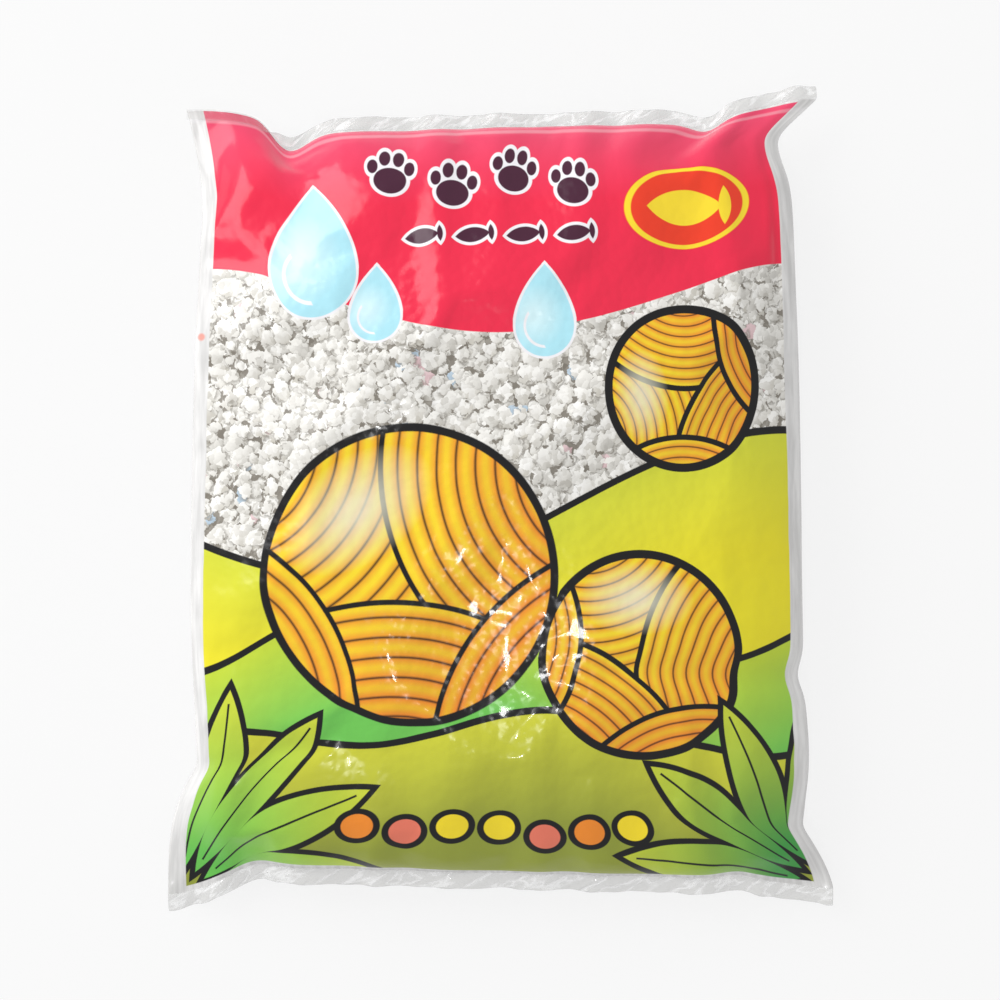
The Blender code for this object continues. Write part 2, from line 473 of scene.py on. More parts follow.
@dataclass(frozen=True)
class FilmDrape:
    """The cloth simulation that draws the flat tube round its fill.

    give is how much larger than the flat tube the film has grown by being handled. It is what
    lets the film crumple between the grains and the seals. crumple is the size up to which a
    move of the front counts as a crumple: the litter holds up what is wider.
    """

    give: float = 1.06
    frames: int = 40
    quality: int = 7
    mass: float = 0.0024
    stretch: float = 80.0
    shear: float = 20.0
    bend: float = 0.001
    hold: float = 12.0
    drag: float = 3.0
    floor_size: float = 1.6
    floor_gap: float = 0.001
    floor_grip: float = 20.0
    volume: float = 0.0109
    pressure_factor: float = 6.0
    head: float = 0.6
    film_gap: float = 0.002
    furthest: float = 0.016
    back_rise: float = 0.0012
    crumple: float = 0.045
    held_margin: float = 0.035

    def settle(
        self,
        start: list[Vector],
        flat: list[Vector],
        held: list[int],
        back: list[int],
        faces: list[tuple[int, ...]],
    ) -> np.ndarray:
        """Run the simulation.

        Args:
            start: The film's points in the filled form.
            flat: The same points on the flat tube, whose size the film keeps.
            held: The points on the folds, on the seals and below the fill's weight, which stay
                near their place.
            back: The points of the back sheet, which the fill's weight presses down.
            faces: The faces of the film.

        Returns:
            The settled points.
        """
        mesh = bpy.data.meshes.new("film_drape")
        mesh.from_pydata(start, [], faces)
        film = bpy.data.objects.new("film_drape", mesh)
        bpy.context.scene.collection.objects.link(film)
        film.shape_key_add(name="filled")
        rest = film.shape_key_add(name="flat")
        for key_point, place in zip(rest.data, flat):
            key_point.co = place
        grip = film.vertex_groups.new(name="held")
        grip.add(held, 1.0, "REPLACE")
        floor = self.add_floor()
        cloth = film.modifiers.new("film", "CLOTH")
        self.set_up(cloth, rest)
        scene = bpy.context.scene
        for number in range(1, self.frames + 1):
            scene.frame_set(number)
        evaluated = film.evaluated_get(bpy.context.evaluated_depsgraph_get())
        settled = np.empty(len(start) * 3, dtype=np.float32)
        evaluated.data.vertices.foreach_get("co", settled)
        scene.frame_set(1)
        bpy.data.objects.remove(film)
        bpy.data.objects.remove(floor)
        bpy.data.meshes.remove(mesh)
        return self.limited(np.array(start), settled.reshape(-1, 3), back)

    def add_floor(self) -> bpy.types.Object:
        """The surface that the film settles on."""
        bpy.ops.mesh.primitive_plane_add(size=self.floor_size, location=(0, 0, -self.floor_gap))
        floor = bpy.context.object
        floor.modifiers.new("stop", "COLLISION")
        floor.collision.thickness_outer = self.floor_gap
        floor.collision.cloth_friction = self.floor_grip
        return floor

    def set_up(self, cloth: bpy.types.ClothModifier, rest: bpy.types.ShapeKey) -> None:
        """Set the film's weight, stiffness and fill."""
        values = {
            "quality": self.quality,
            "mass": self.mass,
            "tension_stiffness": self.stretch,
            "compression_stiffness": self.stretch,
            "shear_stiffness": self.shear,
            "bending_stiffness": self.bend,
            "air_damping": self.drag,
            "vertex_group_mass": "held",
            "pin_stiffness": self.hold,
            "rest_shape_key": rest,
            "use_pressure": True,
            "uniform_pressure_force": 0,
            "use_pressure_volume": True,
            "target_volume": self.volume,
            "pressure_factor": self.pressure_factor,
            "fluid_density": self.head,
        }
        for name, value in values.items():
            setattr(cloth.settings, name, value)
        cloth.collision_settings.distance_min = self.film_gap
        cloth.collision_settings.use_self_collision = False
        cloth.point_cache.frame_start = 1
        cloth.point_cache.frame_end = self.frames + 1

    def limited(self, start: np.ndarray, settled: np.ndarray, back: list[int]) -> np.ndarray:
        """The settled points, none further from its start than the limit, and the back down."""
        move = settled - start
        move[back, 2] = np.minimum(move[back, 2], self.back_rise)
        size = np.linalg.norm(move, axis=1, keepdims=True)
        LOG.info("film moved %.1f mm on average, %.1f mm at most", size.mean() * 1000, size.max() * 1000)
        return start + move * np.minimum(1.0, self.furthest / np.maximum(size, TINY))


def add_node(
    tree: bpy.types.NodeTree, kind: str, inputs: dict[int | str, Value], **settings: str | bool
) -> bpy.types.Node:
    """Make a shader node.

    Args:
        tree: The nodes that it joins.
        kind: The name of its type, past the part that all shader nodes share.
        inputs: What goes into its sockets, by place or name: a fixed value or what carries it.
        settings: The node's own settings.

    Returns:
        The node.
    """
    node = tree.nodes.new("ShaderNode" + kind)
    for name, value in settings.items():
        setattr(node, name, value)
    for place, value in inputs.items():
        source = getattr(value, "socket", value)
        if isinstance(source, bpy.types.NodeSocket):
            tree.links.new(source, node.inputs[place])
        else:
            node.inputs[place].default_value = source
    return node


class Field:
    """A number that varies over the film, as a chain of shader nodes."""

    def __init__(self, tree: bpy.types.NodeTree, socket: bpy.types.NodeSocket) -> None:
        """Wrap the socket that carries the number."""
        self.tree = tree
        self.socket = socket

    def math(self, operation: str, *others: Number) -> Field:
        """The result of a Math node on this number and the others."""
        node = add_node(self.tree, "Math", dict(enumerate((self, *others))), operation=operation)
        return Field(self.tree, node.outputs[0])

    def __add__(self, other: Number) -> Field:
        """The sum."""
        return self.math("ADD", other)

    def __sub__(self, other: Number) -> Field:
        """The difference."""
        return self.math("SUBTRACT", other)

    def __mul__(self, other: Number) -> Field:
        """The product."""
        return self.math("MULTIPLY", other)

    def __truediv__(self, other: Number) -> Field:
        """The quotient."""
        return self.math("DIVIDE", other)

    def __neg__(self) -> Field:
        """The negative."""
        return self.math("MULTIPLY", -1.0)

    def __abs__(self) -> Field:
        """The size without its sign."""
        return self.math("ABSOLUTE")

    def lower(self, other: Number) -> Field:
        """The smaller of two, which joins two distances into the one of both shapes."""
        return self.math("MINIMUM", other)

    def upper(self, other: Number) -> Field:
        """The larger of two, which keeps what both shapes cover."""
        return self.math("MAXIMUM", other)

    def ramp(self, low: float, high: float, to_low: float = 0.0, to_high: float = 1.0) -> Field:
        """This number moved evenly from one range to another, and on past it."""
        rate = (to_high - to_low) / (high - low)
        return self.math("MULTIPLY_ADD", rate, to_low - rate * low)

    def kept(self, low: float = 0.0, high: float = 1.0) -> Field:
        """This number, kept between low and high."""
        return self.upper(low).lower(high)

    def inside(self, edge: float = EDGE) -> Field:
        """Above 1 where this distance is inside its shape and below 0 outside."""
        return self.ramp(edge, -edge)

    def below(self, other: Number) -> Field:
        """1 where this number is less than the other and 0 elsewhere."""
        return self.math("LESS_THAN", other)

    def chosen(self, other: Field, share: Field) -> Field:
        """This number where the share is 0 and the other where it is 1."""
        return (other - self).math("MULTIPLY_ADD", share, self)


class Spot:
    """A place on the film, as a chain of shader nodes that carry a vector."""

    def __init__(self, tree: bpy.types.NodeTree, socket: bpy.types.NodeSocket) -> None:
        """Wrap the socket that carries the place."""
        self.tree = tree
        self.socket = socket

    def vector(self, operation: str, other: Spot | tuple[float, float, float]) -> Spot:
        """The result of a Vector Math node on this place and another vector."""
        node = add_node(self.tree, "VectorMath", {0: self, 1: other}, operation=operation)
        return Spot(self.tree, node.outputs["Vector"])

    def seen_from(self, x: float, y: float) -> Spot:
        """This place, measured from another one."""
        return self.vector("SUBTRACT", (x, y, 0.0))

    def stretched(self, x: float, y: float) -> Spot:
        """This place, with both directions scaled."""
        return self.vector("MULTIPLY", (x, y, 1.0))

    def turned(self, degrees: float) -> Spot:
        """This place, in a frame turned anticlockwise."""
        inputs = {"Vector": self, "Angle": -math.radians(degrees)}
        node = add_node(self.tree, "VectorRotate", inputs, rotation_type="Z_AXIS")
        return Spot(self.tree, node.outputs["Vector"])

    def towards(self, x: float, y: float) -> Field:
        """How far this place lies in a direction."""
        node = add_node(self.tree, "VectorMath", {0: self, 1: (x, y, 0.0)}, operation="DOT_PRODUCT")
        return Field(self.tree, node.outputs["Value"])

    def moved_by(self, other: Spot, amount: float) -> Spot:
        """This place, moved by a share of another vector."""
        inputs = {0: other, 1: (amount, amount, 0.0), 2: self}
        node = add_node(self.tree, "VectorMath", inputs, operation="MULTIPLY_ADD")
        return Spot(self.tree, node.outputs["Vector"])

    def chosen(self, other: Spot, share: Field) -> Spot:
        """This place where the share is 0 and the other where it is 1."""
        return Spot(self.tree, mix_node("VECTOR", share, self, other))

    def length(self) -> Field:
        """The distance from the middle."""
        node = add_node(self.tree, "VectorMath", {0: self}, operation="LENGTH")
        return Field(self.tree, node.outputs["Value"])

    def parts(self) -> tuple[Field, Field]:
        """The place across and the place along."""
        node = add_node(self.tree, "SeparateXYZ", {0: self})
        return Field(self.tree, node.outputs["X"]), Field(self.tree, node.outputs["Y"])

    @classmethod
    def joined(cls, x: Field, y: Field) -> Spot:
        """The place with these two parts."""
        return cls(x.tree, add_node(x.tree, "CombineXYZ", {"X": x, "Y": y}).outputs[0])

    def cells(self, size: float, feature: str = "F1") -> bpy.types.Node:
        """A cell pattern on the film, of one size of grain."""
        inputs = {"Vector": self, "Scale": 1 / size}
        return add_node(self.tree, "TexVoronoi", inputs, voronoi_dimensions="2D", feature=feature)

    def clouds(self, size: float, detail: float, roughness: float = 0.5) -> bpy.types.Node:
        """Noise on the film, of one size of cloud."""
        inputs = {"Vector": self, "Scale": 1 / size, "Detail": detail, "Roughness": roughness}
        return add_node(self.tree, "TexNoise", inputs, noise_dimensions="2D")


Value = Union[Field, Spot, bpy.types.NodeSocket, float, tuple[float, ...]]


# The Mix node's places for the first value, the second and the result, by the kind of value
MIX_PLACES = {"VECTOR": (4, 5, 1), "RGBA": (6, 7, 2)}


def mix_node(kind: str, share: Field, first: Value, second: Value) -> bpy.types.NodeSocket:
    """The result of a Mix node for one kind of value."""
    one, other, result = MIX_PLACES[kind]
    node = add_node(share.tree, "Mix", {0: share, one: first, other: second}, data_type=kind)
    return node.outputs[result]


def mix(share: Field, first: Ink, second: Ink) -> bpy.types.NodeSocket:
    """A colour between two, by a share of 0 to 1."""
    inks = [ink if isinstance(ink, bpy.types.NodeSocket) else (*ink, 1.0) for ink in (first, second)]
    return mix_node("RGBA", share, *inks)


def channels(tree: bpy.types.NodeTree, colour: bpy.types.NodeSocket) -> tuple[Field, Field, Field]:
    """A random colour as three random numbers."""
    node = add_node(tree, "SeparateColor", {0: colour})
    return tuple(Field(tree, node.outputs[name]) for name in ("Red", "Green", "Blue"))


def point_value(tree: bpy.types.NodeTree, name: str) -> Field:
    """A number that the mesh keeps for each of its points."""
    return Field(tree, add_node(tree, "Attribute", {}, attribute_name=name).outputs["Fac"])


def film_material(
    name: str, constants: dict[str, float]
) -> tuple[bpy.types.Material, bpy.types.Node, Spot]:
    """A material of film.

    Args:
        name: Its name.
        constants: The values of the surface's sockets.

    Returns:
        The material, its surface and the place on the flat film.
    """
    material = bpy.data.materials.new(name)
    material.use_nodes = True
    tree = material.node_tree
    shader = tree.nodes["Principled BSDF"]
    for socket, value in constants.items():
        shader.inputs[socket].default_value = value
    uv = add_node(tree, "UVMap", {}, uv_map="flat_film")
    return material, shader, Spot(tree, uv.outputs["UV"])


# Each oval of a paw print: across, along, half width and half height, for a pad of half width 1
PAW_OVALS = ((0.0, -0.35, 1.0, 0.78), (0.42, 0.98, 0.34, 0.46), (1.12, 0.42, 0.32, 0.43))

# How high a drop's point is and how far its flanks bulge, in its radii
DROP_POINT = 2.0
DROP_BULGE = 0.9

# How much a measure along a drop's flank and its point shrinks to be a distance
FLANK_SLOPE = 0.8
POINT_SLOPE = 0.7

# A fish for a body of half length 1: the body's half width, how far back the tail is, and the
# tail's half height and half width
FISH_BODY = 0.42
FISH_TAIL_PLACE = 1.08
FISH_TAIL = (0.46, 0.17)


def disc(spot: Spot, radius: float) -> Field:
    """The distance to a round shape about the middle."""
    return spot.length() - radius


def oval(spot: Spot, half_width: float, half_height: float) -> Field:
    """The distance, about true near its edge, to an oval about the middle."""
    share = spot.stretched(1 / half_width, 1 / half_height).length()
    return (share - 1.0) * min(half_width, half_height)


def blade(spot: Spot, half_length: float, half_width: float) -> Field:
    """The distance to a pointed leaf that lies along the first direction."""
    radius = (half_length**2 + half_width**2) / (2 * half_width)
    x, y = spot.parts()
    return Spot.joined(x, abs(y) + (radius - half_width)).length() - radius


def paw(spot: Spot, size: float) -> Field:
    """The distance to a paw print: one pad and four toes. size is the pad's half width."""
    x, y = spot.parts()
    folded = Spot.joined(abs(x), y)
    pad, inner, outer = (
        oval(folded.seen_from(across * size, along * size), half_width * size, half_height * size)
        for across, along, half_width, half_height in PAW_OVALS
    )
    return pad.lower(inner).lower(outer)


def water_drop(spot: Spot, radius: float) -> Field:
    """The distance to a drop with its point up."""
    x, y = spot.parts()
    below = Spot.joined(x, y.lower(0.0)).length() - radius
    up = (y / (DROP_POINT * radius)).kept()
    narrowing = (up * -1.0 + 1.0) * (up * DROP_BULGE + 1.0) * radius
    flank = (abs(x) - narrowing) * FLANK_SLOPE
    return below.upper(flank).upper((abs(x) + y - DROP_POINT * radius) * POINT_SLOPE)


def fish(spot: Spot, size: float) -> Field:
    """The distance to a small fish that swims to the left. size is its body's half length."""
    body = blade(spot, size, FISH_BODY * size)
    half_height, half_width = FISH_TAIL
    tail = spot.seen_from(FISH_TAIL_PLACE * size, 0).turned(90)
    tail = blade(tail, half_height * size, half_width * size)
    return body.lower(tail)


@dataclass(frozen=True)
class Yarn:
    """One printed ball of yarn: where its middle is, how large it is and how it is turned."""

    across: float
    along: float
    radius: float
    turn: float


@dataclass(frozen=True)
class Hill:
    """One printed hill: a wavy edge at a height, and the colours at its foot and its edge."""

    height: float
    swell: float
    rate: float
    phase: float
    foot: Colour
    crest: Colour


@dataclass(frozen=True)
class Fan:
    """One printed fan of leaves.

    root is where it grows from, distance how far from there the leaves' middles are, step the
    angle between two leaves in degrees, and ink the colour at the root.
    """

    root: tuple[float, float]
    distance: float
    half_length: float
    half_width: float
    step: float
    ink: Colour


@dataclass(frozen=True)
class PrintColours:
    """The inks of the front, with one paler crimson that is a painted highlight along the top."""

    crimson: Colour = linear(240, 41, 75)
    # A paler crimson: painted highlight along the top edge of the crimson field
    crimson_highlight: Colour = linear(233, 74, 110)
    badge: Colour = linear(240, 62, 34)
    badge_rim: Colour = linear(252, 222, 50)
    plum: Colour = linear(72, 28, 52)
    white: Colour = linear(244, 242, 246)
    water: Colour = linear(176, 230, 243)
    water_light: Colour = linear(214, 245, 251)
    line: Colour = linear(14, 13, 15)
    yellow: Colour = linear(248, 222, 42)
    amber: Colour = linear(240, 178, 40)
    orange: Colour = linear(240, 140, 44)
    cream: Colour = linear(238, 236, 214)
    leaf_light: Colour = linear(206, 214, 58)
    pink: Colour = linear(236, 178, 192)
    salmon: Colour = linear(236, 124, 100)
    stone_light: Colour = linear(252, 251, 248)
    stone: Colour = linear(243, 241, 235)
    stone_warm: Colour = linear(206, 202, 192)
    stone_shade: Colour = linear(184, 181, 174)
    shadow: Colour = linear(162, 157, 148)
    crevice: Colour = linear(126, 120, 110)
    fleck_blue: Colour = linear(140, 182, 214)
    fleck_pink: Colour = linear(226, 176, 186)


@dataclass(frozen=True)
class PrintLayout:
    """Where the front's motifs lie on the flat film, measured from its middle."""

    half_width: float = 0.1915
    top: float = 0.2415
    foot: float = -0.2395
    ear_top: float = 0.2440
    ear_start: float = -0.130
    seal_line: float = 0.2365
    header_middle: float = 0.106
    header_side: float = 0.142
    # From where the painted highlight on the crimson starts to where it is full
    header_highlight_fade: tuple[float, float] = (0.19, 0.24)
    line_width: float = 0.0046
    badge: tuple[float, float] = (0.128, 0.184)
    badge_size: tuple[float, float] = (0.044, 0.026)
    badge_rim: float = 0.0026
    badge_rim_inset: float = 0.0016
    badge_fish: float = 0.026
    badge_fish_turn: float = -4.0
    fish_shift: float = -0.002
    rim: float = 0.0016
    paw_size: float = 0.0108
    paw_pitch: float = 0.041
    paw_row: float = 0.209
    paw_stagger: float = 0.0045
    paw_first: float = -0.072
    paw_count: int = 4
    paw_turn: float = -8.0
    fish_size: float = 0.0115
    fish_pitch: float = 0.034
    fish_row: float = 0.169
    fish_first: float = -0.050
    fish_count: int = 4
    fish_turn: float = 6.0
    row_rim: float = 0.0020
    drops: tuple[tuple[float, float, float], ...] = (
        (-0.124, 0.146, 0.0285),
        (-0.082, 0.118, 0.0165),
        (0.030, 0.110, 0.0195),
    )
    balls: tuple[Yarn, ...] = (
        Yarn(0.122, 0.070, 0.050, 60.0),
        Yarn(-0.058, -0.048, 0.094, 0.0),
        Yarn(0.092, -0.098, 0.064, -35.0),
    )
    hills: tuple[Hill, ...] = (
        Hill(-0.004, 0.046, 11.0, -0.5, linear(236, 224, 40), linear(212, 216, 58)),
        Hill(-0.080, 0.026, 19.0, 2.5, linear(112, 200, 86), linear(192, 214, 60)),
        Hill(-0.146, 0.013, 24.0, 0.8, linear(150, 160, 58), linear(206, 208, 58)),
    )
    hill_fade: tuple[float, float] = (-0.07, -0.005)
    fans: tuple[Fan, ...] = (
        Fan((-0.196, -0.246), 0.074, 0.060, 0.0165, 27.0, linear(104, 196, 82)),
        Fan((0.199, -0.240), 0.070, 0.058, 0.0160, 29.0, linear(66, 158, 72)),
    )
    fan_fade: tuple[float, float] = (0.03, 0.13)
    leaf_rib: float = 0.0007
    leaf_rib_share: float = 0.8
    pebble_size: tuple[float, float] = (0.0118, 0.0098)
    pebble_scatter: float = 0.006
    pebble_turn: float = 12.0
    pebble_pitch: float = 0.0285
    pebble_row: float = -0.214
    pebble_count: int = 7
    register_mark: tuple[float, float] = (-0.1965, 0.100)
    register_size: float = 0.0022
    seal_half_width: float = 0.0012
    soft_edge: float = 0.0006


class Painter:
    """Lays inks over each other on the front of the film.

    The renderer works the nodes out in the order in which they were made and has little room to
    remember results, so each node is made after the ones that it takes in, and no colour is
    used as a number or a vector, which would add a node behind all others.
    """

    def __init__(self, ground: bpy.types.NodeSocket, line_width: float = 0.0) -> None:
        """Start from a ground colour, with the width of the drawn outlines."""
        self.colour = ground
        self.line_width = line_width

    def blend(self, cover: Field, ink: Ink, opacity: float = 1.0) -> None:
        """Lay an ink on by its cover, nowhere below 0 and everywhere above 1."""
        share = cover if opacity == 1.0 else cover.kept() * opacity
        self.colour = mix(share, self.colour, ink)

    def fill(self, distance: Field, ink: Ink, edge: float = EDGE) -> None:
        """Fill a shape."""
        self.blend(distance.inside(edge), ink)

    def outline(self, distance: Field, ink: Ink, width: Number | None = None, edge: float = EDGE) -> None:
        """Draw a line along a shape's edge."""
        width = self.line_width if width is None else width
        self.blend((abs(distance) - width * 0.5).inside(edge), ink)


@dataclass(frozen=True)
class StoneLayer:
    """One layer of granules.

    cell is the size of its cells, shift how far its pattern is moved, and small and large are
    the sizes of its granules in cells. A few granules are tinted in the layers that say so.
    """

    cell: float
    shift: tuple[float, float]
    small: float
    large: float
    tinted: bool


@dataclass(frozen=True)
class GranulePicture:
    """A picture of angular pale granules that lie over each other."""

    colours: PrintColours = PrintColours()
    layers: tuple[StoneLayer, ...] = (
        StoneLayer(0.0080, (0.31, 0.17), 0.44, 0.68, True),
        StoneLayer(0.0106, (0.53, 0.71), 0.34, 0.60, True),
        StoneLayer(0.0126, (0.13, 0.47), 0.26, 0.58, False),
    )
    wobble: float = 0.0046
    wobble_detail: float = 3.0
    wobble_roughness: float = 0.62
    facet: float = 0.0032
    facet_weights: tuple[float, float] = (0.6, 0.5)
    chip: float = 0.34
    gap: float = 0.0022
    edge: float = 0.0002
    towards_light: tuple[float, float] = (-0.75, 0.85)
    shade_range: tuple[float, float] = (0.55, -0.35)
    least_shade: float = 0.25
    light_range: tuple[float, float] = (-0.66, 0.46)
    crevice_depth: float = 0.85
    tinted_share: tuple[float, float] = (0.018, 0.021)
    tint: float = 0.6

    def wobbled(self, spot: Spot, size: float, amount: float) -> Spot:
        """A place pushed about by noise, so that the grains get broken outlines."""
        clouds = spot.clouds(size, self.wobble_detail, self.wobble_roughness)
        red, green, _ = channels(spot.tree, clouds.outputs["Color"])
        return spot.moved_by(Spot.joined(red - 0.5, green - 0.5), amount)

    def colour(self, film: Spot) -> bpy.types.NodeSocket:
        """The picture's colour over the film."""
        wobbled = self.wobbled(film, self.wobble, self.wobble)
        facets = wobbled.cells(self.facet)
        red, green, blue = channels(film.tree, facets.outputs["Color"])
        first, second = self.facet_weights
        facing = red * first + green * second - (first + second) / 2
        chip = (blue - 0.5) * self.chip
        painter = Painter(mix(red, self.colours.crevice, self.colours.shadow))
        for layer in self.layers:
            self.lay_stones(painter, wobbled, facing, chip, layer)
        return painter.colour

    def lay_stones(
        self, painter: Painter, wobbled: Spot, facing: Field, chip: Field, layer: StoneLayer
    ) -> None:
        """Lay one layer of granules over what is there, with the shade that they throw.

        Args:
            painter: What lies below.
            wobbled: The place on the film, pushed about.
            facing: How far the facet here faces the light.
            chip: How far the facet here is broken off its stone.
            layer: The layer.
        """
        tree, colours = wobbled.tree, self.colours
        spot = wobbled.vector("ADD", (*layer.shift, 0.0))
        cells = spot.cells(layer.cell)
        size, tone, fleck = channels(tree, cells.outputs["Color"])
        radius = size.ramp(0.0, 1.0, layer.small, layer.large)
        edge = (Field(tree, cells.outputs["Distance"]) + chip - radius) * layer.cell
        local = spot.vector("SUBTRACT", Spot(tree, cells.outputs["Position"]))
        lean = local.towards(*(part / layer.cell for part in self.towards_light))
        shade = edge.ramp(self.gap, 0.0).kept()
        shade = shade * lean.ramp(*self.shade_range).kept(self.least_shade)
        painter.blend(shade, colours.crevice, self.crevice_depth)
        light = (lean + facing).ramp(*self.light_range)
        dull = mix(tone, colours.stone_shade, colours.stone_warm)
        stone = mix(light, dull, mix(tone, colours.stone, colours.stone_light))
        cover = edge.inside(self.edge).kept()
        painter.blend(cover, stone)
        if layer.tinted:
            blue, pink = self.tinted_share
            painter.blend(cover * fleck.math("GREATER_THAN", 1 - blue), colours.fleck_blue, self.tint)
            painter.blend(cover * fleck.below(pink), colours.fleck_pink, self.tint)


@dataclass(frozen=True)
class PrintedFront:
    """The design on the front of the film.

    Places and sizes on a drop or a ball are in its radii. thin_line, leaf_line and ball_line are
    shares of the drawn line's width. drop_shine is the radius and half width of the ring that
    the shine is a part of, and drop_shine_side the slanted line that cuts it off.
    """

    colours: PrintColours = PrintColours()
    layout: PrintLayout = PrintLayout()
    row_trim: float = 0.0016
    thin_line: float = 0.75
    leaf_line: float = 0.8
    drop_light: tuple[float, float] = (-0.4, 0.3)
    drop_fade: tuple[float, float] = (0.2, 1.1)
    drop_shine: tuple[float, float] = (0.68, 0.045)
    drop_shine_side: tuple[float, float, float] = (0.9, 0.45, 0.3)
    strand: float = 0.135
    strand_fade: tuple[float, float] = (0.25, 0.85)
    seam: float = 0.11
    seam_slope: float = 0.25
    ball_edge: float = 0.004
    ball_line: float = 1.15
    ball_light: tuple[float, float] = (-0.35, 0.4)
    ball_fade: tuple[float, float] = (0.25, 1.45)
    shine_place: tuple[float, float] = (-0.36, 0.44)
    shine_turn: float = 35.0
    shine_size: tuple[float, float] = (0.36, 0.22)
    shine_fade: tuple[float, float] = (0.14, -0.16)
    shine_opacity: float = 0.7
    windings: tuple[tuple[tuple[float, float], float], ...] = (
        ((-1.30, 0.90), 1.95),
        ((1.40, 0.75), 1.60),
        ((-0.10, -1.90), 1.72),
        ((1.75, -1.35), 1.62),
        ((-1.70, -0.95), 1.33),
    )

    def colour(self, film: Spot, granules: bpy.types.NodeSocket) -> bpy.types.NodeSocket:
        """Paint the whole front.

        Args:
            film: The place on the flat film.
            granules: The picture of granules that the motifs lie on.

        Returns:
            The front's colour.
        """
        painter = Painter(granules, self.layout.line_width)
        for paint in (
            self.paint_header,
            self.paint_hills,
            self.paint_balls,
            self.paint_leaves,
            self.paint_pebbles,
            self.paint_drops,
            self.paint_rows,
            self.paint_badge,
        ):
            paint(painter, film)
        return painter.colour

    def paint_header(self, painter: Painter, film: Spot) -> None:
        """The crimson field at the top, whose lower edge hangs like a swag, and whose crimson turns pinker
        towards the top edge as a painted highlight.
        """
        plan = self.layout
        across, along = film.parts()
        swing = (across * (math.pi / plan.half_width)).math("COSINE")
        middle = (plan.header_middle + plan.header_side) / 2
        edge = swing * (plan.header_middle - middle) + middle
        # Painted highlight: the crimson turns pinker towards the top edge
        tint = along.ramp(*plan.header_highlight_fade)
        painter.fill(edge - along, mix(tint, self.colours.crimson, self.colours.crimson_highlight))

    def paint_badge(self, painter: Painter, film: Spot) -> None:
        """A plain oval with a yellow rim round a fish."""
        plan, rim = self.layout, self.colours.badge_rim
        spot = film.seen_from(*plan.badge)
        shape = oval(spot, *plan.badge_size)
        painter.fill(shape, self.colours.badge)
        painter.outline(shape + plan.badge_rim_inset, rim, plan.badge_rim)
        spot = spot.seen_from(plan.fish_shift, 0).turned(plan.badge_fish_turn)
        painter.fill(fish(spot, plan.badge_fish), rim)

    def in_row(
        self, film: Spot, first: float, pitch: float, row: float, count: int
    ) -> tuple[Spot, Field, Field]:
        """Repeat one place along a row.

        Args:
            film: The place on the flat film.
            first: How far across the first of the row is.
            pitch: The distance between two neighbours.
            row: How far along the row is.
            count: How many there are.

        Returns:
            The place seen from the nearest of the row, its number in the row, and the distance
            to the stretch that holds them all.
        """
        across, along = film.parts()
        step = ((across - first) / pitch).math("ROUND")
        spot = Spot.joined(across - first - step * pitch, along - row)
        half = count * pitch / 2
        stretch = abs(across - first + pitch / 2 - half) - half + self.row_trim
        return spot, step, stretch

    def paint_rows(self, painter: Painter, film: Spot) -> None:
        """A row of plum paw prints, every second one lower, over a row of small fish."""
        plan = self.layout
        spot, step, stretch = self.in_row(
            film, plan.paw_first, plan.paw_pitch, plan.paw_row, plan.paw_count
        )
        x, y = spot.parts()
        lower = step.math("PINGPONG", 1.0) * (2 * plan.paw_stagger)
        paws = paw(Spot.joined(x, y + lower).turned(plan.paw_turn), plan.paw_size).upper(stretch)
        spot, step, stretch = self.in_row(
            film, plan.fish_first, plan.fish_pitch, plan.fish_row, plan.fish_count
        )
        swimmers = fish(spot.seen_from(plan.fish_shift, 0).turned(plan.fish_turn), plan.fish_size)
        shapes = paws.lower(swimmers.upper(stretch))
        painter.fill(shapes - plan.row_rim, self.colours.white)
        painter.fill(shapes, self.colours.plum)

    def paint_drops(self, painter: Painter, film: Spot) -> None:
        """Pale blue drops of water with white rims and a shine."""
        for x, y, radius in self.layout.drops:
            spot = film.seen_from(x, y)
            shape = water_drop(spot, radius)
            light = spot.seen_from(*(part * radius for part in self.drop_light))
            tint = (light.length() / radius).ramp(*self.drop_fade)
            painter.fill(shape - self.layout.rim, self.colours.white)
            painter.fill(shape, mix(tint, self.colours.water_light, self.colours.water))
            ring_radius, half_width = self.drop_shine
            ring = abs(disc(spot, ring_radius * radius)) - half_width * radius
            x_part, y_part = spot.parts()
            slant, rise, distance = self.drop_shine_side
            shine = ring.upper(x_part * slant + y_part * rise + distance * radius)
            painter.fill(shine, self.colours.white)

    def paint_hills(self, painter: Painter, film: Spot) -> None:
        """The hills at the foot, the furthest first, each with a drawn edge."""
        across, along = film.parts()
        for hill in self.layout.hills:
            swell = (across * hill.rate + hill.phase).math("SINE") * hill.swell
            edge = along - hill.height - swell
            painter.fill(edge, mix(edge.ramp(*self.layout.hill_fade), hill.foot, hill.crest))
            painter.outline(edge, self.colours.line)

    def nearest_ball(self, film: Spot) -> tuple[Spot, Field]:
        """The place seen from the nearest ball, in its radii, and how long a metre is in them."""
        first, *others = self.layout.balls
        spot = self.from_ball(film, first)
        metre = spot.length() * 0.0 + 1 / first.radius
        for ball in others:
            other = self.from_ball(film, ball)
            nearer = other.length().below(spot.length())
            spot = spot.chosen(other, nearer)
            metre = metre.chosen(nearer * 0.0 + 1 / ball.radius, nearer)
        return spot, metre

    def from_ball(self, film: Spot, ball: Yarn) -> Spot:
        """The place seen from one ball, in its radii and in its turned frame."""
        spot = film.seen_from(ball.across, ball.along)
        return spot.stretched(1 / ball.radius, 1 / ball.radius).turned(ball.turn)

